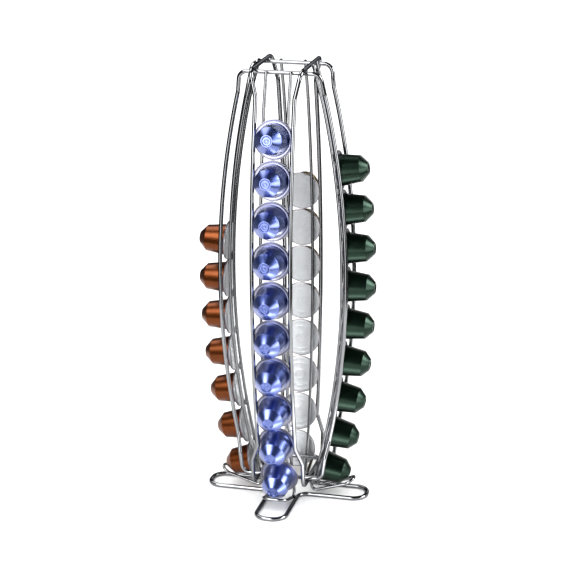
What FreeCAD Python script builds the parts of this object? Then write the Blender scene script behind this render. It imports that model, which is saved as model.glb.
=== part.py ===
import FreeCAD, Part
import math
import os

os.makedirs("parts", exist_ok=True)

# Wire tower that keeps coffee capsules in four columns, back to back.
# Millimetres, +Z up, origin on the table at the tower's centre.
# The front column faces -Y, the right one +X, the back one +Y and the left one -X.
#
# All wire is round steel wire, bent and then welded where it crosses. The tower is slim at both
# ends and widest at its waist: each column stands on one large arc. A column's capsules lie with
# their noses outwards, one on the other. Their flanges slide between two outer rails, which are
# legs of the two hoops beside the column, and the legs of an inner hairpin. The hairpin's loop
# turns up at the foot and stops the lowest capsule.
#
# In a column, r is the distance out from the tower's centre and "half" is a distance to one side
# of the column's middle plane.

Vector = FreeCAD.Vector

# Capsule: an aluminium cup closed by a foil lid
FLANGE_D = 37.4
FLANGE_T = 1.2
LID_D = 35.6
LID_T = 0.3
CUP_D = 30.2
CUP_WALL = 0.5
SHOULDER_D = 25.0
SHOULDER_H = 20.0
NOSE_D = 11.0
NOSE_H = 26.8
RECESS_D = 9.0
RECESS_DEPTH = 1.1

# Capsules in each column
COLUMNS = {"front": 10, "right": 9, "back": 8, "left": 7}
LOWEST_Z = 28.0

# Clearances and welds
STACK_GAP = 0.3
RAIL_GAP = 0.3
SIDE_GAP = 1.2
TRACK_PLAY = 1.3
SEAT_GAP = 0.3
WELD = 0.1

# Arc of the outer rails, on the wire's centre line
ARC_R = 815.0
ARC_Z = 221.0
WAIST_R = 61.3
RAIL_D = 4.0
RAIL_TOP_Z = 398.0
RAIL_BOTTOM_Z = 66.0
SPLAY_RUN = 4.0
SPLAY_BEND_R = 8.0

# Hoops: bars that cross at the top and at the bottom
TOP_BAR_HALF = 23.7
TOP_BAR_Z = 422.0
TOP_CORNER_R = 38.0
TOP_BEND_R = 9.0
BOTTOM_BAR_HALF = 24.7
BOTTOM_BAR_Z = 23.9
BOTTOM_CORNER_R = 39.5
BOTTOM_BEND_R = 8.0
KNEE_R = 42.2
KNEE_Z = 45.0

# Inner hairpins
PIN_D = 3.0
PIN_TOP_Z = 388.0
PIN_BOTTOM_Z = 55.0
PIN_BEND_R = 45.0
PIN_RUN = 4.0
PIN_END = 1.8
HEEL_BEND_R = 4.5
LOOP_RISE = math.radians(16.7)

# Stop loops: a wide one at the front and back, a narrow one with a raised tip at the sides
WIDE_SEAT_SHARE = 0.6
WIDE_BEND_R = 8.0
NARROW_HALF = 6.8
NARROW_BEND_R = 6.3
NARROW_KICK_R = 59.0
NARROW_KICK = math.radians(34.0)
NARROW_KICK_BEND_R = 8.0
NARROW_TIP_R = 66.0

# Foot: one closed wire with four lobes
FOOT_D = 4.0
FOOT_REACH = 78.75
FOOT_HALF = 14.5
FOOT_INNER_BEND_R = 10.0
FOOT_TIP_BEND_R = 12.5

# Sizes that follow
ARC_CENTRE = WAIST_R - ARC_R
FACE_R = ARC_R - RAIL_D / 2 - RAIL_GAP
RAIL_HALF = CUP_D / 2 + SIDE_GAP + RAIL_D / 2
TRACK_R = FACE_R - FLANGE_T - LID_T - TRACK_PLAY - PIN_D / 2
STACK_STEP = (FLANGE_D + STACK_GAP) / FACE_R
LOWEST_ANGLE = math.asin((LOWEST_Z - ARC_Z) / FACE_R)
BAR_STEP = RAIL_D - 2 * WELD
PIN_OFF_BAR = (RAIL_D + PIN_D) / 2 - WELD
PIN_OFF_FOOT = (FOOT_D + PIN_D) / 2 - WELD


def on_circle(angle, radius):
    """Point (r, z) of a circle about the columns' centre of curvature."""
    return Vector(ARC_CENTRE + radius * math.cos(angle), 0, ARC_Z + radius * math.sin(angle))


def upwards(angle):
    """Unit vector (r, z) along such a circle, towards the top."""
    return Vector(-math.sin(angle), 0, math.cos(angle))


def arc_corners(radius, top_z, bottom_z, run):
    """Three corners that become the column's arc when the middle one is rounded to its radius."""
    top = math.asin((top_z - ARC_Z) / radius)
    bottom = math.asin((bottom_z - ARC_Z) / radius)
    waist = on_circle((top + bottom) / 2, radius / math.cos((top - bottom) / 2))
    return [
        on_circle(top, radius) + upwards(top) * run,
        waist,
        on_circle(bottom, radius) - upwards(bottom) * run,
    ]


def meeting(point, direction, other, other_direction):
    """Point where two lines of the (r, z) plane meet."""
    apart = other - point
    cross = direction.x * other_direction.z - direction.z * other_direction.x
    along = (apart.x * other_direction.z - apart.z * other_direction.x) / cross
    return point + direction * along


def centre_line(corners, bends):
    """Straight runs from corner to corner, with each inner corner rounded to its bend radius."""
    edges = []
    start = corners[0]
    for before, corner, after, radius in zip(corners, corners[1:], corners[2:], bends):
        back = (before - corner).normalize()
        ahead = (after - corner).normalize()
        half_turn = (math.pi - back.getAngle(ahead)) / 2
        reach = radius * math.tan(half_turn)
        depth = radius * (1 / math.cos(half_turn) - 1)
        entry = corner + back * reach
        leave = corner + ahead * reach
        middle = corner + (back + ahead).normalize() * depth
        edges.append(Part.LineSegment(start, entry).toShape())
        edges.append(Part.Arc(entry, middle, leave).toShape())
        start = leave
    edges.append(Part.LineSegment(start, corners[-1]).toShape())
    return Part.Wire(edges)


def bent_wire(corners, bends, diameter):
    """Round wire that is the same on both sides of the plane X = 0, where its half starts or ends."""
    path = centre_line(corners, bends)
    first = path.Edges[0]
    section = Part.Circle(corners[0], first.tangentAt(first.FirstParameter), diameter / 2)
    half = path.makePipeShell([Part.Wire(section.toShape())], True, False)
    other = half.mirror(Vector(0, 0, 0), Vector(1, 0, 0))
    return half.fuse(other)


def turned(shape, quarters):
    """Copy of a front piece, turned to the column that many quarter turns on."""
    copy = shape.copy()
    copy.rotate(Vector(0, 0, 0), Vector(0, 0, 1), 90 * quarters)
    return copy


def rail_hoop(outer):
    """Hoop whose two legs are rails. Outer hoops close over the other two, bar on bar."""
    top_z = TOP_BAR_Z + outer * BAR_STEP
    bottom_z = BOTTOM_BAR_Z - outer * BAR_STEP
    leg = arc_corners(ARC_R, RAIL_TOP_Z, RAIL_BOTTOM_Z, SPLAY_RUN)
    corners = [
        Vector(0, -TOP_BAR_HALF, top_z),
        Vector(TOP_CORNER_R, -TOP_BAR_HALF, top_z),
        leg[0] + Vector(0, -RAIL_HALF, 0),
        leg[1] + Vector(0, -RAIL_HALF, 0),
        leg[2] + Vector(0, -RAIL_HALF, 0),
        Vector(KNEE_R, -BOTTOM_BAR_HALF, KNEE_Z),
        Vector(BOTTOM_CORNER_R, -BOTTOM_BAR_HALF, bottom_z),
        Vector(0, -BOTTOM_BAR_HALF, bottom_z),
    ]
    bends = [TOP_BEND_R, SPLAY_BEND_R, ARC_R, SPLAY_BEND_R, SPLAY_BEND_R, BOTTOM_BEND_R]
    return bent_wire(corners, bends, RAIL_D)


def below_axis(height, depth):
    """Point (r, z) of the lowest capsule, from its flange's face along its axis and then below it."""
    outwards = Vector(math.cos(LOWEST_ANGLE), 0, math.sin(LOWEST_ANGLE))
    return on_circle(LOWEST_ANGLE, FACE_R) + outwards * height - upwards(LOWEST_ANGLE) * depth


def wide_seat():
    """Middle of the wide loop's front wire, which lies under the lowest capsule's cone."""
    shoulder = below_axis(SHOULDER_H, SHOULDER_D / 2)
    nose = below_axis(NOSE_H, NOSE_D / 2)
    slope = (nose - shoulder).normalize()
    off = Vector(slope.z, 0, -slope.x) * (PIN_D / 2 + SEAT_GAP)
    return shoulder + (nose - shoulder) * WIDE_SEAT_SHARE + off


def narrow_seat():
    """Point where a side of the narrow loop passes under the lowest capsule's shoulder."""
    slant = math.cos(LOOP_RISE - LOWEST_ANGLE)
    reach = SHOULDER_D / 2 + (PIN_D / 2 + SEAT_GAP) / slant
    return below_axis(SHOULDER_H, math.sqrt(reach**2 - NARROW_HALF**2))


def wide_half(leg, heel, seat):
    """Half width that lays the wide loop's sides against the foot where their heel bends are lowest."""
    back = (leg - heel).normalize()
    ahead = (seat - heel).normalize()
    middle = heel + (back + ahead).normalize() * HEEL_BEND_R / math.sin(back.getAngle(ahead) / 2)
    above_foot = middle.z - HEEL_BEND_R - FOOT_D / 2
    return FOOT_HALF - math.sqrt(PIN_OFF_FOOT**2 - above_foot**2)


def hairpin(outer):
    """Two inner legs of a column and the stop loop that joins them."""
    seat = narrow_seat() if outer else wide_seat()
    top_z = TOP_BAR_Z + outer * BAR_STEP
    bottom_z = BOTTOM_BAR_Z - outer * BAR_STEP
    track = arc_corners(TRACK_R, PIN_TOP_Z, PIN_BOTTOM_Z, PIN_RUN)
    weld = Vector(BOTTOM_BAR_HALF + PIN_OFF_BAR, 0, bottom_z)
    rise = Vector(math.cos(LOOP_RISE), 0, math.sin(LOOP_RISE))
    heel = meeting(weld, weld - track[2], seat, rise)
    half = NARROW_HALF if outer else wide_half(weld, heel, seat)
    side = [Vector(TOP_BAR_HALF + PIN_OFF_BAR, 0, top_z + PIN_END), *track, heel]
    bends = [PIN_BEND_R, TRACK_R, PIN_BEND_R, HEEL_BEND_R]
    if outer:
        kick = seat + rise * ((NARROW_KICK_R - seat.x) / rise.x)
        tip_run = NARROW_TIP_R - NARROW_KICK_R
        tip = kick + Vector(tip_run, 0, tip_run * math.tan(NARROW_KICK))
        side += [kick, tip]
        bends += [NARROW_KICK_BEND_R, NARROW_BEND_R]
    else:
        tip = seat
        side += [tip]
        bends += [WIDE_BEND_R]
    corners = [Vector(half, -point.x, point.z) for point in side]
    corners.append(Vector(0, -tip.x, tip.z))
    return bent_wire(corners[::-1], bends[::-1], PIN_D)


def foot():
    """Closed wire on the table with one lobe under each column."""
    z = FOOT_D / 2
    corners = [
        Vector(0, -FOOT_REACH, z),
        Vector(FOOT_HALF, -FOOT_REACH, z),
        Vector(FOOT_HALF, -FOOT_HALF, z),
        Vector(FOOT_REACH, -FOOT_HALF, z),
        Vector(FOOT_REACH, FOOT_HALF, z),
        Vector(FOOT_HALF, FOOT_HALF, z),
        Vector(FOOT_HALF, FOOT_REACH, z),
        Vector(0, FOOT_REACH, z),
    ]
    bends = [FOOT_TIP_BEND_R, FOOT_INNER_BEND_R, FOOT_TIP_BEND_R]
    return bent_wire(corners, bends + bends[::-1], FOOT_D)


def revolved(outline):
    """Solid of an outline of (radius, height) points turned about the Z axis."""
    points = [Vector(radius, 0, height) for radius, height in outline]
    face = Part.Face(Part.makePolygon(points + points[:1]))
    return face.revolve(Vector(0, 0, 0), Vector(0, 0, 1), 360)


def cup():
    """Thin cup with its flange's outer face at height 0 and its nose upwards."""
    cone = (SHOULDER_D - NOSE_D) / 2 / (NOSE_H - SHOULDER_H)
    floor_h = NOSE_H - RECESS_DEPTH
    inside_h = floor_h - CUP_WALL
    inside_r = SHOULDER_D / 2 - cone * (inside_h - SHOULDER_H) - CUP_WALL * math.hypot(1, cone)
    draft = CUP_WALL / SHOULDER_H * (CUP_D - SHOULDER_D) / 2
    return revolved(
        [
            (CUP_D / 2 - CUP_WALL, -FLANGE_T),
            (FLANGE_D / 2, -FLANGE_T),
            (FLANGE_D / 2, 0),
            (CUP_D / 2, 0),
            (SHOULDER_D / 2, SHOULDER_H),
            (NOSE_D / 2, NOSE_H),
            (RECESS_D / 2, NOSE_H),
            (RECESS_D / 2 - RECESS_DEPTH / 2, floor_h),
            (0, floor_h),
            (0, inside_h),
            (inside_r, inside_h),
            (SHOULDER_D / 2 - CUP_WALL, SHOULDER_H - draft),
        ]
    )


def capsule():
    """Cup and lid as two solids."""
    lid = Part.makeCylinder(LID_D / 2, LID_T, Vector(0, 0, -FLANGE_T - LID_T))
    return Part.makeCompound([cup(), lid])


def stacked(shape, place):
    """Copy of the capsule at its place in the front column, counted from the lowest."""
    angle = LOWEST_ANGLE + place * STACK_STEP
    face = on_circle(angle, FACE_R)
    outwards = Vector(0, -math.cos(angle), math.sin(angle))
    copy = shape.copy()
    copy.Placement = FreeCAD.Placement(
        Vector(0, -face.x, face.z), FreeCAD.Rotation(Vector(0, 0, 1), outwards)
    )
    return copy


nodes = {"lobed_foot": foot()}
one_capsule = capsule()
for quarters, (column, count) in enumerate(COLUMNS.items()):
    outer = quarters % 2
    nodes[f"{column}_rail_hoop"] = turned(rail_hoop(outer), quarters)
    nodes[f"{column}_hairpin"] = turned(hairpin(outer), quarters)
    for place in range(count):
        nodes[f"{column}_capsule_{place + 1:02d}"] = turned(stacked(one_capsule, place), quarters)

for name, shape in nodes.items():
    shape.exportStep(f"parts/{name}.step")
    print(name, len(shape.Solids), "solids,", round(shape.Volume, 1), "mm3")
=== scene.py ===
# %% [markdown]
# # A wire tower for coffee capsules
# The tower is a welded frame of bright chromed wire. Four columns of capsules stand in it, back to
# back, with their noses outwards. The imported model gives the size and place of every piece, and
# this script gives each piece its finish and the fine shapes that the eye expects close up.
# It is a lesson: each step says what the real piece is before it makes it.

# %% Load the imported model
import math

import bpy
from mathutils import Matrix, Vector


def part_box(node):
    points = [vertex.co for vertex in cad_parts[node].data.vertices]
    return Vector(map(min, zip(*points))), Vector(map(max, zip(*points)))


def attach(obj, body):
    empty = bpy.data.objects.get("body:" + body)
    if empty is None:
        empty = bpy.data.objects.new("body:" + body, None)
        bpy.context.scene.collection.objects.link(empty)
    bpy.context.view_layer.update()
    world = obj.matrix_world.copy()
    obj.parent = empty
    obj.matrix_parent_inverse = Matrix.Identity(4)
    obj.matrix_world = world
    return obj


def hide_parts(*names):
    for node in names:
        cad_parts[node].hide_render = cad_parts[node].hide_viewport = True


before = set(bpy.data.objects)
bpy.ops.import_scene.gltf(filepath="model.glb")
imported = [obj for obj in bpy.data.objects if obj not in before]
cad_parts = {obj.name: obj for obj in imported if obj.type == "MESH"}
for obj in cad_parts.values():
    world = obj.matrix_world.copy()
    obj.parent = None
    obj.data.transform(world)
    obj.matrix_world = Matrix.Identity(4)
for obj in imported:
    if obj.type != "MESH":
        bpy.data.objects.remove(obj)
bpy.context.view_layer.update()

# %% [markdown]
# Sizes are easiest to read in millimetres, because wire and capsules are sold in them. Blender
# works in metres here, so one factor turns the first into the second, once, as a shape is made.

# %% Units and small helpers
MM = 0.001
print("one millimetre is", MM, "m")


def select_only(piece):
    """Operators act on all that is selected, so each step starts from one selected piece."""
    bpy.ops.object.select_all(action="DESELECT")
    piece.select_set(True)
    bpy.context.view_layer.objects.active = piece


def make_smooth(piece, degrees):
    """Shades a piece smoothly, except over edges sharper than the angle."""
    select_only(piece)
    bpy.ops.object.shade_smooth_by_angle(angle=math.radians(degrees))

# %% [markdown]
# A bent wire and the wall of a drawn cup have one thing in common: straight runs joined by round
# bends. One function can draw both. It takes corners and the bend radius at each inner corner,
# and gives points along the line. It turns by equal small steps, so a wide arc stays round.

# %% Rounded line
BEND_STEP = math.radians(7)


def rounded_line(corners, bends, step=BEND_STEP):
    """Points along straight runs whose inner corners are rounded to their bend radius."""
    points = [corners[0].copy()]
    for before, corner, after, radius in zip(corners, corners[1:], corners[2:], bends):
        if radius == 0:
            points.append(corner.copy())
            continue
        back = (before - corner).normalized()
        ahead = (after - corner).normalized()
        turn = math.pi - back.angle(ahead)
        reach = radius * math.tan(turn / 2)
        centre = corner + (back + ahead).normalized() * radius / math.cos(turn / 2)
        first = corner + back * reach - centre
        last = corner + ahead * reach - centre
        count = max(2, math.ceil(turn / step))
        for k in range(count + 1):
            part = turn * k / count
            spoke = first * math.sin(turn - part) + last * math.sin(part)
            points.append(centre + spoke / math.sin(turn))
    points.append(corners[-1].copy())
    return points


right_angle = [Vector((0, 0)), Vector((9, 0)), Vector((9, 9))]
print("a right-angle bend has", len(rounded_line(right_angle, [3])), "points")

# %% [markdown]
# Materials are built from nodes. Colours are picked as sRGB hex values, the way a paint chart or a
# photograph gives them, and one function turns them into the linear values that light adds up in.
# Another adds a node with its settings and links, so each material below reads as a short recipe.

# %% Colour and node helpers


def linear(code):
    """Linear colour of an sRGB hex code such as 'c0c4c8'."""
    channels = [int(code[k:k + 2], 16) / 255 for k in (0, 2, 4)]
    bright = [c / 12.92 if c <= 0.04045 else ((c + 0.055) / 1.055) ** 2.4 for c in channels]
    return (*bright, 1.0)


def add_node(tree, kind, settings=None, values=None, links=None):
    """Adds a node, sets its properties and input values, and links its inputs to other outputs."""
    node = tree.nodes.new(kind)
    for key, value in (settings or {}).items():
        setattr(node, key, value)
    for key, value in (values or {}).items():
        node.inputs[key].default_value = value
    for key, output in (links or {}).items():
        tree.links.new(output, node.inputs[key])
    return node


def new_material(name):
    """A node material, its tree and its Principled shader."""
    material = bpy.data.materials.new(name)
    material.use_nodes = True
    return material, material.node_tree, material.node_tree.nodes["Principled BSDF"]


print("mid grey 808080 is", round(linear("808080")[0], 3), "in linear light")

# %% [markdown]
# The materials share a few steps: clouds of noise, a blend of two colours, a spread of the noise
# over a range of values, and a bump. Noise seldom leaves the middle of its range, so the spread
# starts from there.

# %% Steps that the materials share
NOISE_LOW, NOISE_HIGH = 0.3, 0.7


def clouds(tree, place, size, detail, **more):
    """Noise from 0 to 1 that changes over about the given size."""
    values = {"Scale": 1 / size, "Detail": detail, **more}
    return add_node(tree, "ShaderNodeTexNoise", values=values, links={"Vector": place}).outputs["Fac"]


def blend(tree, share, first, second):
    """The first colour where share is 0, and the second where it is 1."""
    colours = {"A": first, "B": second}
    mix = add_node(tree, "ShaderNodeMix", {"data_type": "RGBA"}, colours, {"Factor": share})
    return mix.outputs["Result"]


def spread(tree, noise, low, high):
    """Values from low to high, over the range where the noise mostly lies."""
    ends = {"From Min": NOISE_LOW, "From Max": NOISE_HIGH, "To Min": low, "To Max": high}
    return add_node(tree, "ShaderNodeMapRange", values=ends, links={"Value": noise}).outputs["Result"]


def bump(tree, height, strength, depth, under=None):
    """Slopes from a height map that is depth millimetres deep, laid over another bump if given."""
    links = {"Height": height}
    if under is not None:
        links["Normal"] = under
    values = {"Strength": strength, "Distance": depth * MM}
    return add_node(tree, "ShaderNodeBump", values=values, links=links).outputs["Normal"]


def feed(tree, shader, values, links):
    """Gives the shader its plain values and its linked ones."""
    for key, value in values.items():
        shader.inputs[key].default_value = value
    for key, output in links.items():
        tree.links.new(output, shader.inputs[key])


print("noise mostly lies from", NOISE_LOW, "to", NOISE_HIGH)

# %% [markdown]
# ## Bright chrome over steel wire
# The wire is drawn steel with a layer of nickel and a thin flash of chromium. To the eye it is a
# grey mirror. It isn't perfect: the plating has a fine orange-peel, far smaller than a pixel, so it
# is drawn coarser than life, as a gentle change in roughness and a weak bump, and the tint drifts
# over a few centimetres. A metal turns pure white at a grazing angle, and a thin wire's rim would
# be lost against a white room. The specular tint keeps the rim grey.

# %% Chrome material
CHROME_TINT = linear("8f9092")
CHROME_SHADE = linear("7d7e80")
CHROME_EDGE = linear("8c8e92")
PEEL_SIZE, PEEL_HEIGHT, PEEL_STRENGTH = 3.0, 0.02, 0.04
CHROME_ROUGHNESS = (0.08, 0.12)
TINT_DRIFT = 22.0


def chrome():
    material, tree, shader = new_material("bright_chrome_plated_steel_wire")
    place = add_node(tree, "ShaderNodeTexCoord").outputs["Object"]
    peel = clouds(tree, place, PEEL_SIZE * MM, detail=3.0, Roughness=0.6)
    drift = clouds(tree, place, TINT_DRIFT * MM, detail=2.0)
    feed(tree, shader, {"Metallic": 1.0, "Specular Tint": CHROME_EDGE}, {
        "Base Color": blend(tree, drift, CHROME_TINT, CHROME_SHADE),
        "Roughness": spread(tree, peel, *CHROME_ROUGHNESS),
        "Normal": bump(tree, peel, PEEL_STRENGTH, PEEL_HEIGHT),
    })
    return material


CHROME = chrome()
print("made", CHROME.name)

# %% [markdown]
# ## The wire frame
# A bender makes each hoop from one length of wire, and a welder joins the hoops where they cross.
# In Blender a wire is a curve with a round bevel: the curve is the wire's centre line, and the
# bevel is its thickness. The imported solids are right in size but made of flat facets, which shows
# in a mirror finish. So each wire is drawn again from the same corners and bend radii.
#
# Each column stands on one large arc. In a column, r is the distance out from the tower's centre.

# %% Sizes of the wire frame, in millimetres
ARC_R, ARC_Z, WAIST_R = 815.0, 221.0, 61.3
RAIL_D, RAIL_TOP_Z, RAIL_BOTTOM_Z = 4.0, 398.0, 66.0
SPLAY_RUN, SPLAY_BEND_R = 4.0, 8.0
TOP_BAR_HALF, TOP_BAR_Z, TOP_CORNER_R, TOP_BEND_R = 23.7, 422.0, 38.0, 9.0
BOTTOM_BAR_HALF, BOTTOM_BAR_Z, BOTTOM_CORNER_R, BOTTOM_BEND_R = 24.7, 23.9, 39.5, 8.0
KNEE_R, KNEE_Z = 42.2, 45.0
PIN_D, PIN_TOP_Z, PIN_BOTTOM_Z, PIN_BEND_R, PIN_RUN, PIN_END = 3.0, 388.0, 55.0, 45.0, 4.0, 1.8
HEEL_BEND_R, LOOP_RISE = 4.5, math.radians(16.7)
WIDE_SEAT_SHARE, WIDE_BEND_R = 0.6, 8.0
NARROW_HALF, NARROW_BEND_R, NARROW_TIP_R = 6.8, 6.3, 66.0
NARROW_KICK_R, NARROW_KICK, NARROW_KICK_BEND_R = 59.0, math.radians(34.0), 8.0
FOOT_D, FOOT_REACH, FOOT_HALF = 4.0, 78.75, 14.5
FOOT_INNER_BEND_R, FOOT_TIP_BEND_R = 10.0, 12.5
WELD = 0.1
print("wires are", RAIL_D, "and", PIN_D, "mm thick")

# %% [markdown]
# A capsule is a cup with a wide flange, closed by a foil lid. Its flange slides between the rails
# and the hairpin's legs, so the track's width follows from the cup and its depth from the flange.

# %% Sizes of a capsule and its column, in millimetres
FLANGE_D, FLANGE_T, LID_D, LID_T = 37.4, 1.2, 35.6, 0.3
CUP_D, CUP_WALL = 30.2, 0.5
SHOULDER_D, SHOULDER_H = 25.0, 20.0
NOSE_D, NOSE_H, RECESS_D, RECESS_DEPTH = 11.0, 26.8, 9.0, 1.1
COLUMNS = {"front": 10, "right": 9, "back": 8, "left": 7}
LOWEST_Z, STACK_GAP, RAIL_GAP, SIDE_GAP, TRACK_PLAY, SEAT_GAP = 28.0, 0.3, 0.3, 1.2, 1.3, 0.3

ARC_CENTRE = WAIST_R - ARC_R
FACE_R = ARC_R - RAIL_D / 2 - RAIL_GAP
RAIL_HALF = CUP_D / 2 + SIDE_GAP + RAIL_D / 2
TRACK_R = FACE_R - FLANGE_T - LID_T - TRACK_PLAY - PIN_D / 2
STACK_STEP = (FLANGE_D + STACK_GAP) / FACE_R
LOWEST_ANGLE = math.asin((LOWEST_Z - ARC_Z) / FACE_R)
BAR_STEP = RAIL_D - 2 * WELD
PIN_OFF_BAR = (RAIL_D + PIN_D) / 2 - WELD
PIN_OFF_FOOT = (FOOT_D + PIN_D) / 2 - WELD
print("rails bow to", WAIST_R, "mm; columns hold", sum(COLUMNS.values()), "capsules")

# %% [markdown]
# The bender's drawing is worked out in the plane of r and height. These helpers give points on a
# column's arc, and the corners that become that arc once the middle one is rounded to its radius.

# %% Points on a column's arc


def on_circle(angle, radius):
    """A point of the plane of r and height, on a circle about the arc's centre."""
    return Vector((ARC_CENTRE + radius * math.cos(angle), 0, ARC_Z + radius * math.sin(angle)))


def upwards(angle):
    """The way up along the arc at this angle."""
    return Vector((-math.sin(angle), 0, math.cos(angle)))


def arc_corners(radius, top_z, bottom_z, run):
    """Corners of an arc between two heights, with a straight run at both ends."""
    top = math.asin((top_z - ARC_Z) / radius)
    bottom = math.asin((bottom_z - ARC_Z) / radius)
    waist = on_circle((top + bottom) / 2, radius / math.cos((top - bottom) / 2))
    high = on_circle(top, radius) + upwards(top) * run
    low = on_circle(bottom, radius) - upwards(bottom) * run
    return [high, waist, low]


print("rails bow out to r =", round(on_circle(0, ARC_R).x, 1), "mm at height", ARC_Z, "mm")

# %% [markdown]
# Every wire is the same on both sides of its column's middle plane, so half of it is enough: the
# points are mirrored, and the curve runs through both halves. A closed wire joins up with itself,
# and an open one gets flat cut ends. A turn by quarter circles brings it to its own column.

# %% Draw a wire
WIRE_BEVEL_STEPS, WIRE_SHARP = 6, 40
GENTLE_BEND_R = 200
GENTLE_STEP = math.radians(0.7)


def wire_points(corners, bends):
    """Rounded line whose very wide bends are stepped more finely than its tight ones."""
    points = [corners[0].copy()]
    for k, radius in enumerate(bends):
        step = GENTLE_STEP if radius > GENTLE_BEND_R else BEND_STEP
        points += rounded_line(corners[k:k + 3], [radius], step)[1:-1]
    points.append(corners[-1].copy())
    return points


def draw_wire(name, half, diameter, closed, quarters):
    """A round wire through half and its mirror image, turned to its column, as a mesh."""
    mirrored = [Vector((-p.x, p.y, p.z)) for p in reversed(half)]
    if closed:
        line = half + mirrored[1:-1]
    else:
        line = mirrored[:-1] + half
    curve = bpy.data.curves.new(name, "CURVE")
    curve.dimensions = "3D"
    curve.bevel_depth = diameter / 2 * MM
    curve.bevel_resolution = WIRE_BEVEL_STEPS
    curve.use_fill_caps = not closed
    spline = curve.splines.new("POLY")
    spline.points.add(len(line) - 1)
    turn = Matrix.Rotation(math.radians(90 * quarters), 4, "Z")
    for target, point in zip(spline.points, line):
        target.co = (*(turn @ point * MM), 1.0)
    spline.use_cyclic_u = closed
    piece = bpy.data.objects.new(name, curve)
    bpy.context.scene.collection.objects.link(piece)
    select_only(piece)
    bpy.ops.object.convert(target="MESH")
    piece = bpy.context.view_layer.objects.active
    piece.data.materials.clear()
    piece.data.materials.append(CHROME)
    make_smooth(piece, WIRE_SHARP)
    return piece


print("wide arcs turn by", round(math.degrees(GENTLE_STEP), 1), "degrees a step")

# %% [markdown]
# A rail hoop is one closed wire: a bar across the top, two long legs on the arc, a knee near the
# foot and a bar across the bottom. Its legs are rails of the two columns beside it. Where bars
# cross, those of the right and left hoops lie above at the top and below at the bottom.

# %% Rail hoops


def rail_hoop_half(outer):
    """Half of a hoop. Outer is 1 for the right and left hoops, whose bars lie outside."""
    top_z = TOP_BAR_Z + outer * BAR_STEP
    bottom_z = BOTTOM_BAR_Z - outer * BAR_STEP
    leg = arc_corners(ARC_R, RAIL_TOP_Z, RAIL_BOTTOM_Z, SPLAY_RUN)
    side = Vector((0, -RAIL_HALF, 0))
    corners = [
        Vector((0, -TOP_BAR_HALF, top_z)),
        Vector((TOP_CORNER_R, -TOP_BAR_HALF, top_z)),
        leg[0] + side,
        leg[1] + side,
        leg[2] + side,
        Vector((KNEE_R, -BOTTOM_BAR_HALF, KNEE_Z)),
        Vector((BOTTOM_CORNER_R, -BOTTOM_BAR_HALF, bottom_z)),
        Vector((0, -BOTTOM_BAR_HALF, bottom_z)),
    ]
    bends = [TOP_BEND_R, SPLAY_BEND_R, ARC_R, SPLAY_BEND_R, SPLAY_BEND_R, BOTTOM_BEND_R]
    return wire_points(corners, bends)


wires = {}
for quarters, column in enumerate(COLUMNS):
    name = f"{column}_rail_hoop"
    wires[name] = draw_wire(f"{name}_wire", rail_hoop_half(quarters % 2), RAIL_D, True, quarters)
print("hoop wire has", len(wires["front_rail_hoop"].data.polygons), "faces")

# %% [markdown]
# The two inner legs of a column are one hairpin. At the foot its loop turns up under the lowest
# capsule and stops it. At the front and back the loop is wide and lies under the cone. At the
# sides it is narrow, and its tip kicks up in front of the nose. The lowest capsule fixes both
# loops, so first come the spots where their wires would touch it, less a small gap.

# %% Where a loop passes the lowest capsule


def below_axis(height, depth):
    """A point of the lowest capsule: height out from its face and depth below its axis."""
    outwards = Vector((math.cos(LOWEST_ANGLE), 0, math.sin(LOWEST_ANGLE)))
    return on_circle(LOWEST_ANGLE, FACE_R) + outwards * height - upwards(LOWEST_ANGLE) * depth


def wide_seat():
    """The middle of a wide loop's wire, a gap below the cone."""
    shoulder = below_axis(SHOULDER_H, SHOULDER_D / 2)
    nose = below_axis(NOSE_H, NOSE_D / 2)
    slope = (nose - shoulder).normalized()
    off = Vector((slope.z, 0, -slope.x)) * (PIN_D / 2 + SEAT_GAP)
    return shoulder + (nose - shoulder) * WIDE_SEAT_SHARE + off


def narrow_seat():
    """The middle of a narrow loop's two wires, a gap below the shoulder."""
    slant = math.cos(LOOP_RISE - LOWEST_ANGLE)
    reach = SHOULDER_D / 2 + (PIN_D / 2 + SEAT_GAP) / slant
    return below_axis(SHOULDER_H, math.sqrt(reach ** 2 - NARROW_HALF ** 2))


def meeting(point, direction, other, other_direction):
    """Where two lines in the plane of r and height cross."""
    apart = other - point
    cross = direction.x * other_direction.z - direction.z * other_direction.x
    along = (apart.x * other_direction.z - apart.z * other_direction.x) / cross
    return point + direction * along


print("wire of a wide loop is", round(wide_seat().z, 1), "mm up, of a narrow one",
      round(narrow_seat().z, 1), "mm")

# %% [markdown]
# A leg comes down the track, is welded to the bottom bar and turns at the heel into the loop. The
# heels of the two wide hairpins are also welded to the foot, which sets how wide they are.

# %% Hairpins


def wide_half(leg, heel, seat):
    """Half the width of a wide hairpin, so that its heels press into the foot's wire."""
    back = (leg - heel).normalized()
    ahead = (seat - heel).normalized()
    middle = heel + (back + ahead).normalized() * HEEL_BEND_R / math.sin(back.angle(ahead) / 2)
    above_foot = middle.z - HEEL_BEND_R - FOOT_D / 2
    return FOOT_HALF - math.sqrt(PIN_OFF_FOOT ** 2 - above_foot ** 2)


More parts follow.
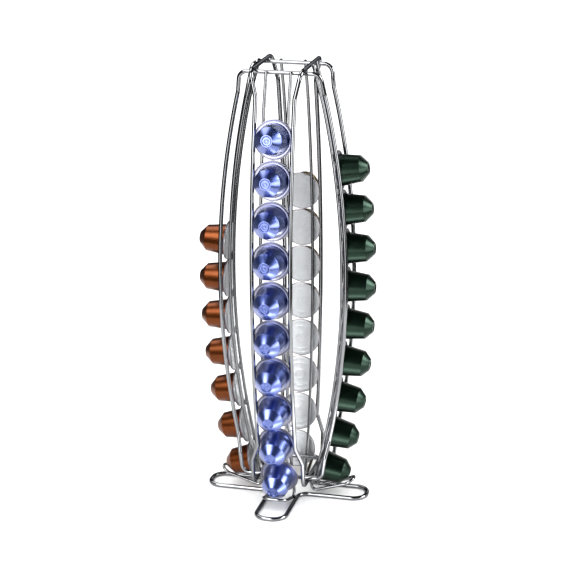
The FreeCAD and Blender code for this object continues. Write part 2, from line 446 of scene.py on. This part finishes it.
def hairpin_half(outer):
    """Half of a hairpin from its loop's tip up to its cut end, and its half width."""
    seat = narrow_seat() if outer else wide_seat()
    top_z = TOP_BAR_Z + outer * BAR_STEP
    bottom_z = BOTTOM_BAR_Z - outer * BAR_STEP
    track = arc_corners(TRACK_R, PIN_TOP_Z, PIN_BOTTOM_Z, PIN_RUN)
    weld = Vector((BOTTOM_BAR_HALF + PIN_OFF_BAR, 0, bottom_z))
    rise = Vector((math.cos(LOOP_RISE), 0, math.sin(LOOP_RISE)))
    heel = meeting(weld, weld - track[2], seat, rise)
    half = NARROW_HALF if outer else wide_half(weld, heel, seat)
    side = [Vector((TOP_BAR_HALF + PIN_OFF_BAR, 0, top_z + PIN_END)), *track, heel]
    bends = [PIN_BEND_R, TRACK_R, PIN_BEND_R, HEEL_BEND_R]
    if outer:
        kick = seat + rise * ((NARROW_KICK_R - seat.x) / rise.x)
        tip_run = NARROW_TIP_R - NARROW_KICK_R
        tip = kick + Vector((tip_run, 0, tip_run * math.tan(NARROW_KICK)))
        side += [kick, tip]
        bends += [NARROW_KICK_BEND_R, NARROW_BEND_R]
    else:
        tip = seat
        side += [tip]
        bends += [WIDE_BEND_R]
    corners = [Vector((half, -p.x, p.z)) for p in side] + [Vector((0, -tip.x, tip.z))]
    return wire_points(corners[::-1], bends[::-1]), half


pin_half = {}
for quarters, column in enumerate(COLUMNS):
    name = f"{column}_hairpin"
    half_line, pin_half[column] = hairpin_half(quarters % 2)
    wires[name] = draw_wire(f"{name}_wire", half_line, PIN_D, False, quarters)
print("hairpins are half", {c: round(h, 2) for c, h in pin_half.items()}, "mm wide")

# %% [markdown]
# The foot is one closed wire, bent into four lobes that lie flat on the table. Each lobe reaches
# out under a column, so the tower can't tip when only one column is full.

# %% Lobed foot
foot_corners = [
    Vector((x, y, FOOT_D / 2))
    for x, y in [
        (0, -FOOT_REACH), (FOOT_HALF, -FOOT_REACH), (FOOT_HALF, -FOOT_HALF),
        (FOOT_REACH, -FOOT_HALF), (FOOT_REACH, FOOT_HALF), (FOOT_HALF, FOOT_HALF),
        (FOOT_HALF, FOOT_REACH), (0, FOOT_REACH),
    ]
]
foot_bends = [FOOT_TIP_BEND_R, FOOT_INNER_BEND_R, FOOT_TIP_BEND_R]
foot_line = wire_points(foot_corners, foot_bends + foot_bends[::-1])
wires["lobed_foot"] = draw_wire("lobed_foot_wire", foot_line, FOOT_D, True, 0)

for node, wire in wires.items():
    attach(wire, "frame")
    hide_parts(node)
print(len(wires), "wires stand for the frame's nodes")

# %% [markdown]
# ## Welds
# Crossed wires are pressed together and a current melts them into each other. A small bead of
# metal is squeezed out round the spot, and the chrome covers it later. A bead starts as a sphere,
# is flattened along the line through both wires and is then smoothed, so that it looks melted.

# %% Weld beads
BEAD_R, BEAD_FLATNESS, BEAD_SMOOTHING = 1.15, 0.55, 0.3
BEAD_SIDES, BEAD_RINGS, BEAD_SHARP = 20, 12, 60
CORNERS = {"front_right": (1, -1), "back_right": (1, 1), "back_left": (-1, 1), "front_left": (-1, -1)}


def weld_bead(name, place, normal):
    """A flattened bead at a weld, with its thin way along normal."""
    bpy.ops.object.select_all(action="DESELECT")
    bpy.ops.mesh.primitive_uv_sphere_add(segments=BEAD_SIDES, ring_count=BEAD_RINGS, radius=BEAD_R * MM)
    piece = bpy.context.view_layer.objects.active
    piece.name = piece.data.name = name
    bpy.ops.object.mode_set(mode="EDIT")
    bpy.ops.mesh.select_all(action="SELECT")
    bpy.ops.transform.resize(value=(1.0, 1.0, BEAD_FLATNESS))
    bpy.ops.mesh.vertices_smooth(factor=BEAD_SMOOTHING, repeat=2)
    bpy.ops.object.mode_set(mode="OBJECT")
    piece.data.transform(Vector(normal).to_track_quat("Z", "Y").to_matrix().to_4x4())
    piece.data.transform(Matrix.Translation(Vector(place) * MM))
    piece.data.materials.append(CHROME)
    make_smooth(piece, BEAD_SHARP)
    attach(piece, "frame")
    return piece


welds = []
for corner, (sx, sy) in CORNERS.items():
    top = (sx * TOP_BAR_HALF, sy * TOP_BAR_HALF, TOP_BAR_Z + BAR_STEP / 2)
    bottom = (sx * BOTTOM_BAR_HALF, sy * BOTTOM_BAR_HALF, BOTTOM_BAR_Z - BAR_STEP / 2)
    welds.append(weld_bead(f"{corner}_top_weld", top, (0, 0, 1)))
    welds.append(weld_bead(f"{corner}_bottom_weld", bottom, (0, 0, 1)))

for quarters, column in enumerate(COLUMNS):
    outer = quarters % 2
    turn = Matrix.Rotation(math.radians(90 * quarters), 4, "Z")
    for hand, sign in (("a", -1), ("b", 1)):
        for end, bar, z in (
            ("top", TOP_BAR_HALF, TOP_BAR_Z + outer * BAR_STEP),
            ("bottom", BOTTOM_BAR_HALF, BOTTOM_BAR_Z - outer * BAR_STEP),
        ):
            spot = turn @ Vector((sign * pin_half[column], -bar - RAIL_D / 2 + WELD / 2, z))
            welds.append(weld_bead(f"{column}_{end}_pin_weld_{hand}", spot, turn @ Vector((0, 1, 0))))
print(len(welds), "weld beads")

# %% [markdown]
# ## The capsules
# A capsule is a cup deep-drawn from thin aluminium strip and lacquered before it is formed, with a
# foil lid sealed over its mouth. It is round all over, so it is shaped like a pot on a wheel: a
# ring of points is extruded, moved up and scaled, again and again, until it has followed the wall
# from the nose to the flange and back along the inside.

# %% Turn a shape on the wheel
POLE_R, CLOSE = 0.2, 0.01


def turned_on_wheel(name, outline, sides):
    """A round closed shell from (radius, height) points that start and end near the axis."""
    bpy.ops.object.select_all(action="DESELECT")
    first = outline[0]
    bpy.ops.mesh.primitive_circle_add(vertices=sides, radius=first.x * MM, fill_type="NOTHING")
    piece = bpy.context.view_layer.objects.active
    piece.name = piece.data.name = name
    bpy.ops.object.mode_set(mode="EDIT")
    bpy.ops.mesh.select_mode(type="VERT")
    bpy.ops.mesh.select_all(action="SELECT")
    bpy.ops.transform.translate(value=(0, 0, first.y * MM))
    for before, point in zip(outline, outline[1:]):
        bpy.ops.mesh.extrude_region_move(
            TRANSFORM_OT_translate={"value": (0, 0, (point.y - before.y) * MM)}
        )
        grow = point.x / before.x
        bpy.ops.transform.resize(value=(grow, grow, 1), center_override=(0, 0, 0))
    bpy.ops.mesh.merge(type="CENTER")
    bpy.ops.object.mode_set(mode="OBJECT")
    for vertex in piece.data.vertices:
        near_axis = math.hypot(vertex.co.x, vertex.co.y) < first.x * MM * (1 + CLOSE)
        vertex.select = near_axis and abs(vertex.co.z - first.y * MM) < CLOSE * MM
    bpy.ops.object.mode_set(mode="EDIT")
    bpy.ops.mesh.merge(type="CENTER")
    bpy.ops.mesh.select_all(action="SELECT")
    bpy.ops.mesh.normals_make_consistent(inside=False)
    bpy.ops.object.mode_set(mode="OBJECT")
    return piece


print("a shape starts and ends", POLE_R, "mm from the axis and is closed there")

# %% [markdown]
# The cup's outline starts at the middle of the nose. A small ring is embossed in the dished end,
# a cone leads to the shoulder, and the wall widens to the flange, whose edge is curled over so
# that it doesn't cut. The curl is a little higher than the flat ring inside it, and that makes the
# double line of light round each capsule.

# %% Cup outline
CUP_SIDES, CUP_STEP = 80, math.radians(20)
CURL_R, CURL_ANGLES = 0.6, range(150, -91, -30)
RING_DIP, RING_START = 0.35, 0.25
NOSE_RING_R, NOSE_RING_H, CREST, SKIRT = 1.75, 0.16, 0.2, 0.45


def polar(centre_r, centre_h, radius, degrees):
    """A point of the outline on a circle about the given centre."""
    angle = math.radians(degrees)
    return Vector((centre_r + radius * math.cos(angle), centre_h + radius * math.sin(angle)))


def cup_outline():
    """The cup's wall from nose to flange and back. A corner is (radius, height, bend radius)."""
    floor_h = NOSE_H - RECESS_DEPTH
    curl_at = FLANGE_D / 2 - CURL_R
    cone = (SHOULDER_D - NOSE_D) / 2 / (NOSE_H - SHOULDER_H)
    inside_h = floor_h - CUP_WALL
    inside_r = SHOULDER_D / 2 - cone * (inside_h - SHOULDER_H) - CUP_WALL * math.hypot(1, cone)
    draft = CUP_WALL / SHOULDER_H * (CUP_D - SHOULDER_D) / 2
    dish = [
        (POLE_R, floor_h, 0),
        (NOSE_RING_R - SKIRT, floor_h, 0.1), (NOSE_RING_R - CREST, floor_h + NOSE_RING_H, 0.1),
        (NOSE_RING_R + CREST, floor_h + NOSE_RING_H, 0.1), (NOSE_RING_R + SKIRT, floor_h, 0.1),
        (RECESS_D / 2 - RECESS_DEPTH / 2, floor_h, 0.3), (RECESS_D / 2, NOSE_H, 0.15),
        (NOSE_D / 2, NOSE_H, 0.25), (SHOULDER_D / 2, SHOULDER_H, 0.5),
        (CUP_D / 2, 0.0, 0.2), (CUP_D / 2 + RING_START, -RING_DIP, 0.15),
        (curl_at - CURL_R, -RING_DIP, 0),
    ]
    outside = rounded_line(
        [Vector((r, h)) for r, h, _ in dish], [b for _, _, b in dish[1:-1]], CUP_STEP
    )
    curl = [polar(curl_at, -CURL_R, CURL_R, a) for a in CURL_ANGLES]
    inside = [
        Vector((CUP_D / 2 - CUP_WALL, -FLANGE_T)),
        Vector((SHOULDER_D / 2 - CUP_WALL, SHOULDER_H - draft)),
        Vector((inside_r, inside_h)),
        Vector((POLE_R, inside_h)),
    ]
    return outside + curl + inside


cup_master = turned_on_wheel("cup_master", cup_outline(), CUP_SIDES)
print("cup has", len(cup_master.data.polygons), "faces and is",
      round(cup_master.dimensions.z / MM, 2), "mm high")

# %% [markdown]
# The lid is aluminium foil, sealed hot to the flange. The sealing head leaves a flat band near the
# edge, and shallow rings stiffen the middle. The rings are real shape here, because foil shows
# every small slope as a bright or dark line.

# %% Lid outline
LID_SIDES, LID_STEP = 80, math.radians(15)
SEAL_R, EDGE_ROUND, GLUE_GAP = 15.4, 0.1, 0.01
LID_RINGS, RING_DEPTH, RING_CREST, RING_SKIRT = (4.2, 11.6), 0.06, 0.15, 0.5


def lid_outline():
    """The foil from its middle to its edge and back. A corner is (radius, height, bend radius)."""
    outer = -FLANGE_T - LID_T
    low = outer + RING_DEPTH
    inner = -FLANGE_T - GLUE_GAP
    edge = LID_D / 2
    shape = [(POLE_R, low, 0)]
    for r in LID_RINGS:
        shape += [(r - RING_SKIRT, low, 0.3), (r - RING_CREST, outer, 0.2)]
        shape += [(r + RING_CREST, outer, 0.2), (r + RING_SKIRT, low, 0.3)]
    shape += [(SEAL_R - RING_SKIRT, low, 0.3), (SEAL_R, outer, 0.2)]
    shape += [(edge - EDGE_ROUND, outer, 0.05), (edge, outer + EDGE_ROUND, 0.05)]
    shape += [(edge, inner, 0), (POLE_R, inner, 0)]
    return rounded_line(
        [Vector((r, h)) for r, h, _ in shape], [b for _, _, b in shape[1:-1]], LID_STEP
    )


lid_master = turned_on_wheel("lid_master", lid_outline(), LID_SIDES)
print("lid has", len(lid_master.data.polygons), "faces")

# %% [markdown]
# A pattern on a capsule has to follow the capsule and not the room. Each point therefore keeps its
# own place on the capsule, in millimetres, as an attribute that the materials read.

# %% Keep each point's own place
CAPSULE_SHARP = 35


def keep_own_place(piece):
    """Writes each point's place into the attribute own_place."""
    attribute = piece.data.attributes.new("own_place", "FLOAT_VECTOR", "POINT")
    for item, vertex in zip(attribute.data, piece.data.vertices):
        item.vector = vertex.co / MM


for master in (cup_master, lid_master):
    keep_own_place(master)
    make_smooth(master, CAPSULE_SHARP)
print("own places kept on both masters")

# %% [markdown]
# ## Lacquered aluminium
# Under a clear tinted lacquer the metal still acts as a metal: it mirrors the room in the
# lacquer's colour, softly. The lacquer adds a second, colourless gloss on top, strong on the blue
# cups and weak on the others, so each recipe ends with its share of gloss. Drawing the cup
# stretches the strip along the wall, which leaves fine lines from nose to flange. The flange is
# painted a plain metal grey, as a painted highlight for the thin silver lines of light along it.

# %% Lacquer recipes
LACQUERS = {
    "front": ("blue", "2d4c9f", "263f90", 1.0),
    "right": ("green", "162b20", "11231a", 0.08),
    "back": ("gold", "927534", "82652a", 0.3),
    "left": ("copper", "642f09", "542706", 0.06),
}
# Painted highlight: this grey on the flange stands in for the silver lines of light along it.
PAINTED_SHEEN_GREY = linear("74727a")
LINE_WIDTH, LINE_STRETCH, LINE_HEIGHT, LINE_STRENGTH = 0.7, 0.04, 0.008, 0.1
LACQUER_ROUGHNESS = (0.27, 0.34)
CLOUD_SIZE = 6.0
# Radii in mm where the painted highlight grey starts and where it is full, and its largest share.
SHEEN_FROM, SHEEN_TO, SHEEN_SHARE = CUP_D / 2 + 0.2, CUP_D / 2 + 0.7, 0.9
print("lacquers:", {column: recipe[0] for column, recipe in LACQUERS.items()})

# %% [markdown]
# The painted highlight grey grows with the distance from the capsule's axis. Own place gives it:
# with the height set to nothing, the length of what is left is that distance.

# %% Lacquer materials


def painted_sheen_share(tree, place):
    """How much painted highlight grey shows: none on the wall, nearly all on the flange."""
    flat = add_node(
        tree, "ShaderNodeVectorMath", {"operation": "MULTIPLY"}, {1: (1.0, 1.0, 0.0)}, {0: place}
    ).outputs["Vector"]
    radius = add_node(
        tree, "ShaderNodeVectorMath", {"operation": "LENGTH"}, links={0: flat}
    ).outputs["Value"]
    return add_node(
        tree, "ShaderNodeMapRange",
        values={"From Min": SHEEN_FROM, "From Max": SHEEN_TO, "To Min": 0.0, "To Max": SHEEN_SHARE},
        links={"Value": radius},
    ).outputs["Result"]


def lacquered_aluminium(colour, light, dark, gloss):
    material, tree, shader = new_material(f"{colour}_lacquered_aluminium")
    place = add_node(tree, "ShaderNodeAttribute", {"attribute_name": "own_place"}).outputs["Vector"]
    stretched = add_node(
        tree, "ShaderNodeMapping", {"vector_type": "POINT"},
        {"Scale": (1.0, 1.0, LINE_STRETCH)}, {"Vector": place},
    ).outputs["Vector"]
    lines = clouds(tree, stretched, LINE_WIDTH, detail=3.0, Roughness=0.55)
    coat = blend(tree, clouds(tree, place, CLOUD_SIZE, detail=2.0), linear(light), linear(dark))
    # The lacquer's colour, mixed towards grey on the flange as a painted highlight.
    coat_with_painted_sheen = add_node(
        tree, "ShaderNodeMix", {"data_type": "RGBA"},
        {"B": PAINTED_SHEEN_GREY}, {"A": coat, "Factor": painted_sheen_share(tree, place)},
    )
    values = {"Metallic": 0.95, "Coat Weight": gloss, "Coat Roughness": 0.24, "Coat IOR": 1.95}
    feed(tree, shader, values, {
        "Base Color": coat_with_painted_sheen.outputs["Result"],
        "Roughness": spread(tree, lines, *LACQUER_ROUGHNESS),
        "Normal": bump(tree, lines, LINE_STRENGTH, LINE_HEIGHT),
    })
    return material


lacquer = {column: lacquered_aluminium(*colours) for column, colours in LACQUERS.items()}
print("made", [m.name for m in lacquer.values()])

# %% [markdown]
# ## Foil
# Thin rolled foil is bright but never flat. Packing and sealing leave soft dents a few millimetres
# wide, and rolling leaves a fine grain. Both are drawn as bump, and the roughness follows the grain.

# %% Foil material
DENT_SIZE, DENT_DEPTH, DENT_STRENGTH = 4.5, 0.25, 0.3
GRAIN_SIZE, GRAIN_DEPTH, GRAIN_STRENGTH = 0.4, 0.02, 0.1
FOIL_LIGHT, FOIL_DARK = linear("b8babc"), linear("a6a8ab")
FOIL_ROUGHNESS = (0.24, 0.4)


def sealing_foil():
    material, tree, shader = new_material("aluminium_sealing_foil")
    place = add_node(tree, "ShaderNodeAttribute", {"attribute_name": "own_place"}).outputs["Vector"]
    dents = clouds(tree, place, DENT_SIZE, detail=2.0, Distortion=0.6)
    grain = clouds(tree, place, GRAIN_SIZE, detail=2.0)
    soft = bump(tree, dents, DENT_STRENGTH, DENT_DEPTH)
    feed(tree, shader, {"Metallic": 0.75}, {
        "Base Color": blend(tree, dents, FOIL_LIGHT, FOIL_DARK),
        "Roughness": spread(tree, grain, *FOIL_ROUGHNESS),
        "Normal": bump(tree, grain, GRAIN_STRENGTH, GRAIN_DEPTH, soft),
    })
    return material


FOIL = sealing_foil()
print("made", FOIL.name)

# %% [markdown]
# ## Stack the columns
# The lowest capsule of a column rests on its stop loop, and the others stand on it, flange on
# flange, along the column's arc. Each capsule is a copy of the masters with its place in its mesh.
# Each is also turned about its own axis by a different amount, as capsules roll when they fall in,
# so that no two show the same dents.

# %% A capsule's place
ROLL = math.radians(137.5)


def capsule_place(quarters, number, roll):
    """Where a capsule sits: number 0 is the lowest of its column."""
    angle = LOWEST_ANGLE + number * STACK_STEP
    face = on_circle(angle, FACE_R)
    stand = Matrix.Translation(Vector((0, -face.x, face.z)) * MM)
    tilt = Matrix.Rotation(math.pi / 2 - angle, 4, "X")
    column = Matrix.Rotation(math.radians(90 * quarters), 4, "Z")
    return column @ stand @ tilt @ Matrix.Rotation(roll, 4, "Z")


def copy_of(master, name, place, material, body):
    """A copy of a master at its place, which rides on its body and stands for that node."""
    mesh = master.data.copy()
    mesh.name = name
    mesh.transform(place)
    mesh.materials.clear()
    mesh.materials.append(material)
    piece = bpy.data.objects.new(name, mesh)
    bpy.context.scene.collection.objects.link(piece)
    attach(piece, body)
    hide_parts(body)
    return piece


print("a capsule is turned up", round(math.degrees(STACK_STEP), 2), "degrees from the one below it")

# %% [markdown]
# Each cup and lid rides on the body of its own capsule. As a check, the middle of the two is
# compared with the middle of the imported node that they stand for.

# %% Place the capsules
count = 0
worst = 0.0
for quarters, (column, number_of) in enumerate(COLUMNS.items()):
    for number in range(number_of):
        body = f"{column}_capsule_{number + 1:02d}"
        place = capsule_place(quarters, number, ROLL * count)
        cup = copy_of(cup_master, f"{body}_cup", place, lacquer[column], body)
        lid = copy_of(lid_master, f"{body}_lid", place, FOIL, body)
        low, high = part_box(body)
        middle = (low + high) / 2
        points = [v.co for v in cup.data.vertices] + [v.co for v in lid.data.vertices]
        mine = [(min(p[k] for p in points) + max(p[k] for p in points)) / 2 for k in range(3)]
        worst = max(worst, (middle - Vector(mine)).length)
        count += 1
for master in (cup_master, lid_master):
    bpy.data.objects.remove(master)
print(count, "capsules placed; furthest from its node:", round(worst / MM, 3), "mm")

# %% [markdown]
# ## Table, light and camera
# The photograph is a studio shot on white, so the table is a wide board in matt white paint, which
# runs on into the white background. The table, the lights and the camera's place are in metres.

# %% Table
FLOOR_R, FLOOR_SIDES = 0.6, 128
PAINT_PATCH = 1 / 60
PAINT_LIGHT, PAINT_DARK = linear("f6f6f6"), linear("f2f2f2")


def painted_board():
    material, tree, shader = new_material("matt_white_painted_board")
    place = add_node(tree, "ShaderNodeTexCoord").outputs["Object"]
    patches = clouds(tree, place, PAINT_PATCH, detail=2.0)
    feed(tree, shader, {"Roughness": 0.6, "Specular IOR Level": 0.2}, {
        "Base Color": blend(tree, patches, PAINT_LIGHT, PAINT_DARK),
    })
    return material


bpy.ops.object.select_all(action="DESELECT")
bpy.ops.mesh.primitive_circle_add(vertices=FLOOR_SIDES, radius=FLOOR_R, fill_type="NGON")
table = bpy.context.view_layer.objects.active
table.name = "table"
table.data.materials.append(painted_board())
print("table is", 2 * FLOOR_R, "m across")

# %% [markdown]
# Three soft boxes light the scene: one at the front left, one at the right and one overhead. A box
# would show as a hard rectangle in the chrome, so mirrors don't see it. The noses near the foot
# mirror the table, and in the photograph they are nearly white. Two lit sheets lie on the table for
# that, one at the front right and one behind, and only mirrors see those.

# %% Soft boxes
AIM = (0, 0, 0.2)
SHEET_Z = 0.0005


def soft_box(name, place, width, height, power):
    """A rectangular light that faces the tower and that no mirror sees, in metres and watts."""
    data = bpy.data.lights.new(name, "AREA")
    data.shape = "RECTANGLE"
    data.size = width
    data.size_y = height
    data.energy = power
    lamp = bpy.data.objects.new(name, data)
    bpy.context.scene.collection.objects.link(lamp)
    lamp.location = place
    lamp.rotation_euler = (Vector(AIM) - Vector(place)).to_track_quat("-Z", "Y").to_euler()
    lamp.visible_glossy = False
    lamp.visible_camera = False
    return lamp


def lit_sheet(name, x, y, width, length, power):
    """A lit sheet on the table, facing up, that only mirrors see."""
    sheet = soft_box(name, (x, y, SHEET_Z), width, length, power)
    sheet.rotation_euler = (math.pi, 0, 0)
    sheet.visible_glossy, sheet.visible_diffuse = True, False


soft_box("front_left_box", (-0.5, -0.8, 0.8), 0.7, 0.8, 4.4)
soft_box("right_box", (0.9, -0.18, 0.35), 0.55, 0.7, 3.6)
soft_box("overhead_fill", (0, 0, 2.4), 2.4, 2.4, 24)
lit_sheet("front_reflector", 0.11, -0.12, 0.14, 0.1, 0.24)
lit_sheet("back_reflector", 0.08, 0.42, 0.1, 0.3, 0.4)

# %% [markdown]
# What the chrome and the lacquer mirror is drawn into the studio's walls. A direction is an azimuth,
# counted to the right from the front of the tower, and an elevation, both in degrees. The walls are
# nearly black. A card is a round patch of light, given by its direction, the degrees from its middle
# to its core's edge and to its rim, and its brightness. A flag is a round black patch that gives the
# wires their dark lines. All that isn't a mirror is lit by an even white room.

# %% Cards and flags
CEILING_GLOW, LOW_GLOW, ROOM_GLOW = 0.05, 0.07, 1.5
DUSK_FROM, DUSK_TO = -0.2, 0.07
CARDS = [
    (-2, -6, 10, 20, 4.0),
    (-14, 13, 8, 15, 8.0),
    (-34, 38, 14, 24, 9.0),
    (76, 2, 9, 18, 7.0),
    (100, 28, 9, 18, 16.0),
    (172, 16, 6, 16, 1.4),
    (-125, 56, 14, 24, 4.5),
    (156, -17, 9, 18, 1.3),
    (-100, -8, 14, 28, 0.15),
]
FLAGS = [(-62, -18, 8, 20), (46, -18, 8, 20), (-170, -15, 25, 40)]


def towards(azimuth, elevation):
    """The direction of an azimuth and an elevation, as a vector of length 1."""
    a, e = math.radians(azimuth), math.radians(elevation)
    return (math.sin(a) * math.cos(e), -math.cos(a) * math.cos(e), math.sin(e))


def round_patch(tree, direction, azimuth, elevation, core, rim, outside, inside):
    """A value that is inside within core degrees of the patch's middle and outside past its rim."""
    near = add_node(
        tree, "ShaderNodeVectorMath", {"operation": "DOT_PRODUCT"},
        {1: towards(azimuth, elevation)}, {0: direction},
    )
    rim_cosine, core_cosine = math.cos(math.radians(rim)), math.cos(math.radians(core))
    patch = add_node(
        tree, "ShaderNodeMapRange", {"interpolation_type": "SMOOTHSTEP"},
        {"From Min": rim_cosine, "From Max": core_cosine, "To Min": outside, "To Max": inside},
        {"Value": near.outputs["Value"]},
    )
    return patch.outputs["Result"]


def joined(tree, operation, first, second):
    """Two values added or multiplied."""
    node = add_node(tree, "ShaderNodeMath", {"operation": operation}, links={0: first, 1: second})
    return node.outputs["Value"]


print("the walls have", len(CARDS), "cards and", len(FLAGS), "flags")

# %% [markdown]
# The walls start from a faint glow. Each flag is multiplied in and takes its patch away, and then
# each card is added. The light path tells mirrors, which see the walls, from all else, which gets
# the even white room.

# %% Studio walls
world = bpy.data.worlds.new("studio")
bpy.context.scene.world = world
world.use_nodes = True
walls = world.node_tree
walls.nodes.clear()
around = add_node(walls, "ShaderNodeTexCoord").outputs["Generated"]
height = add_node(walls, "ShaderNodeSeparateXYZ", links={"Vector": around}).outputs["Z"]
glow = add_node(
    walls, "ShaderNodeMapRange", {"interpolation_type": "SMOOTHSTEP"},
    values={"From Min": DUSK_FROM, "From Max": DUSK_TO, "To Min": LOW_GLOW, "To Max": CEILING_GLOW},
    links={"Value": height},
).outputs["Result"]
for *where, core, rim in FLAGS:
    glow = joined(walls, "MULTIPLY", glow, round_patch(walls, around, *where, core, rim, 1.0, 0.0))
for *where, core, rim, power in CARDS:
    glow = joined(walls, "ADD", glow, round_patch(walls, around, *where, core, rim, 0.0, power))
path = add_node(walls, "ShaderNodeLightPath")
strength = add_node(
    walls, "ShaderNodeMix", {"data_type": "FLOAT"},
    values={"A": ROOM_GLOW},
    links={"Factor": path.outputs["Is Glossy Ray"], "B": glow},
)
sky = add_node(
    walls, "ShaderNodeBackground", values={"Color": (1.0, 1.0, 1.0, 1)},
    links={"Strength": strength.outputs["Result"]},
)
add_node(walls, "ShaderNodeOutputWorld", links={"Surface": sky.outputs["Background"]})
bpy.context.scene.view_settings.view_transform = "Standard"
print("the studio has", len(walls.nodes), "nodes")

# %% [markdown]
# The camera stands a little to the right and looks down by about 18 degrees. Its place and lens
# were worked out from the photograph, from how wide the foot's lobes and the columns look. Lens
# and sensor are in millimetres, as on a real camera.

# %% Camera
LENS, SENSOR = 117.34, 36.0
CAMERA_PLACE = (0.4252, -1.6501, 0.7716)
SWING, TILT, LEAN = 14.43, 71.70, -0.36

camera_data = bpy.data.cameras.new("camera")
camera_data.lens = LENS
camera_data.sensor_width = SENSOR
camera = bpy.data.objects.new("camera", camera_data)
bpy.context.scene.collection.objects.link(camera)
camera.matrix_world = (
    Matrix.Translation(CAMERA_PLACE)
    @ Matrix.Rotation(math.radians(SWING), 4, "Z")
    @ Matrix.Rotation(math.radians(TILT), 4, "X")
    @ Matrix.Rotation(math.radians(LEAN), 4, "Z")
)
bpy.context.scene.camera = camera
print("camera is", round(camera.location.length, 2), "m from the tower's foot")
